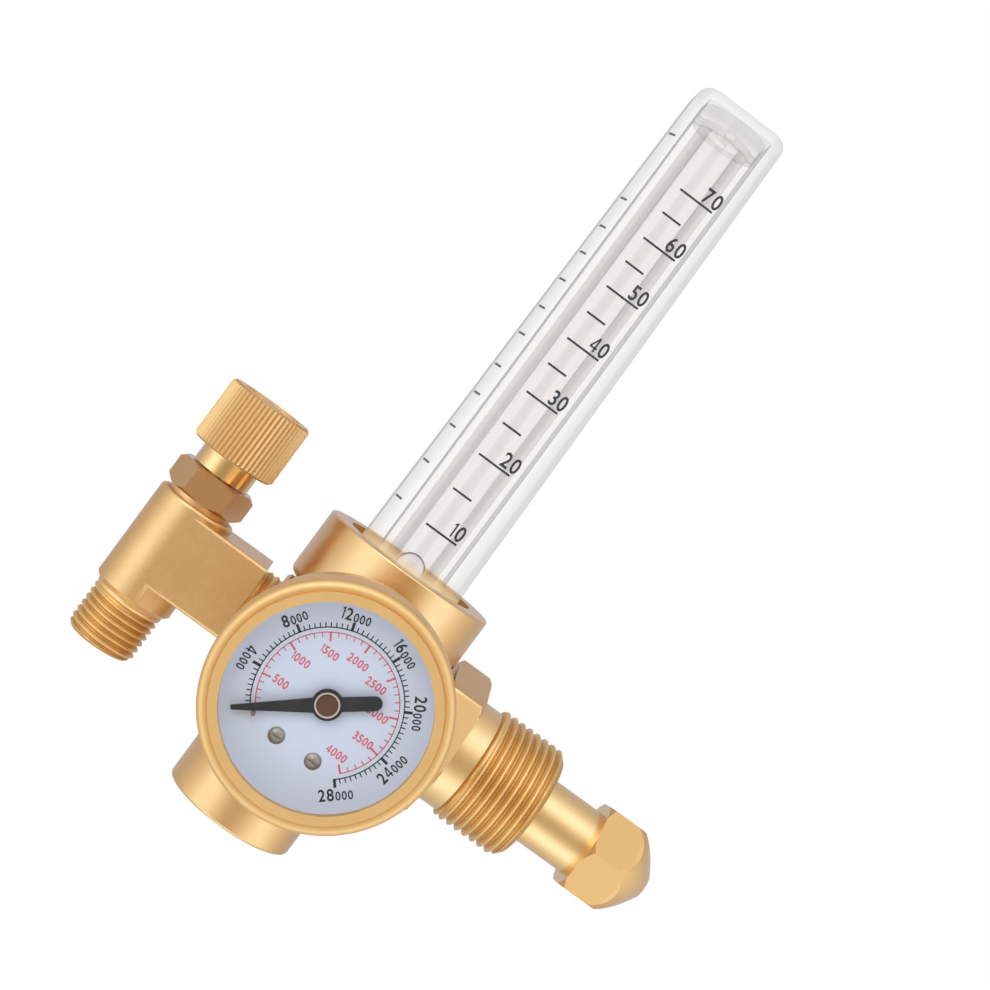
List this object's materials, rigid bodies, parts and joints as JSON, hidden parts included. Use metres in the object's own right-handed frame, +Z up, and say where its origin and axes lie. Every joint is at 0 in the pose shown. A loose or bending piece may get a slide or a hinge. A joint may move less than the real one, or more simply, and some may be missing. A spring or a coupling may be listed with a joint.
{
  "type": "argon flowmeter regulator",
  "caption": "Brass gas regulator with a cylinder inlet nut, a round pressure gauge, a clear flow tube with a float ball and a needle valve outlet.",
  "frame": {"origin": "middle of the bottom cap's flat face, on the axis of the flow tube", "axes": "+Z up along the flow tube, +X along the inlet towards the gas cylinder, -Y towards the viewer of the gauge"},
  "size_m": [0.1221, 0.0653, 0.1655],
  "materials": {
    "satin_brass": "satin",
    "plain_brass": "satin",
    "polished_brass": "polished",
    "steel": "satin",
    "bronze": "satin",
    "rubber": "matte",
    "ptfe": "matte",
    "clear_plastic": "clear",
    "dial_white": "matte",
    "pointer_black": "satin"
  },
  "bodies": {
    "regulator": {"regulator_body": "satin_brass", "bottom_cap": "satin_brass", "cap_gasket": "ptfe", "piston_spring": "steel", "valve_nozzle": "steel", "tube_nut": "satin_brass", "tube_gasket": "rubber", "flow_cover": "clear_plastic", "metering_tube": "clear_plastic", "metering_tube_o_ring": "rubber", "ball_seat": "polished_brass", "tube_top_plug": "clear_plastic", "inlet_nipple": "plain_brass", "inlet_filter": "bronze", "needle_valve_body": "satin_brass", "bonnet_nut": "plain_brass", "gauge_socket": "satin_brass", "gauge_case": "satin_brass", "gauge_bezel": "satin_brass", "gauge_lens": "clear_plastic", "dial_plate": "dial_white", "dial_screws": "steel", "stop_pin": "steel", "bourdon_tube": "bronze", "movement_back_plate": "polished_brass", "movement_front_plate": "polished_brass", "movement_pillars": "steel"},
    "piston_group": {"piston": "polished_brass", "piston_o_ring": "rubber", "piston_stem_o_ring": "rubber", "piston_seat": "ptfe"},
    "float": {"float_ball": "clear_plastic"},
    "nut": {"inlet_nut": "satin_brass"},
    "stem_seal": {"stem_o_ring": "rubber"},
    "knob": {"valve_knob": "satin_brass", "needle_stem": "polished_brass", "knob_screw": "steel"},
    "pointer": {"gauge_pointer": "pointer_black", "pointer_cap": "steel", "pinion_arbor": "steel", "hairspring": "bronze"},
    "sector": {"sector_gear": "polished_brass"},
    "link": {"tip_link": "steel"}
  },
  "joints": [
    {"name": "float_lift", "type": "slide", "parent": "regulator", "child": "float", "axis": [0, 0, 1], "range_m": [0, 0.0985]},
    {"name": "inlet_nut_spin", "type": "hinge", "parent": "regulator", "child": "nut", "pos_m": [0.03, 0, 0.035], "axis": [1, 0, 0], "continuous": true},
    {"name": "stem_rise", "type": "slide", "parent": "regulator", "child": "stem_seal", "axis": [0, 0, 1], "range_m": [0, 0.0021]},
    {"name": "knob_turn", "type": "hinge", "parent": "stem_seal", "child": "knob", "pos_m": [-0.0395, 0, 0.055], "axis": [0, 0, 1], "range_deg": [0, 1100]},
    {"name": "piston_stroke", "type": "slide", "parent": "regulator", "child": "piston_group", "axis": [0, 0, 1], "range_m": [0, 0.0008], "stiffness_N_per_m": 3000, "springref_m": -0.003, "deforming": ["piston_spring"]},
    {"name": "pointer_sweep", "type": "hinge", "parent": "regulator", "child": "pointer", "pos_m": [0, 0, 0.035], "axis": [0, 1, 0], "range_deg": [0, 261], "stiffness_Nm_per_rad": 0.0004, "springref_deg": -17.19},
    {"name": "sector_swing", "type": "hinge", "parent": "regulator", "child": "sector", "pos_m": [0.00818, 0, 0.03118], "axis": [0, 1, 0], "range_deg": [-33, 0]},
    {"name": "link_turn", "type": "hinge", "parent": "sector", "child": "link", "pos_m": [0.01164, 0, 0.03017], "axis": [0, 1, 0], "range_deg": [0, 33]}
  ],
  "couplings": [
    {"joint": "knob_turn", "follows": "stem_rise", "rad_per_m": 8976},
    {"joint": "sector_swing", "follows": "pointer_sweep", "ratio": -0.125},
    {"joint": "link_turn", "follows": "pointer_sweep", "ratio": 0.125}
  ]
}
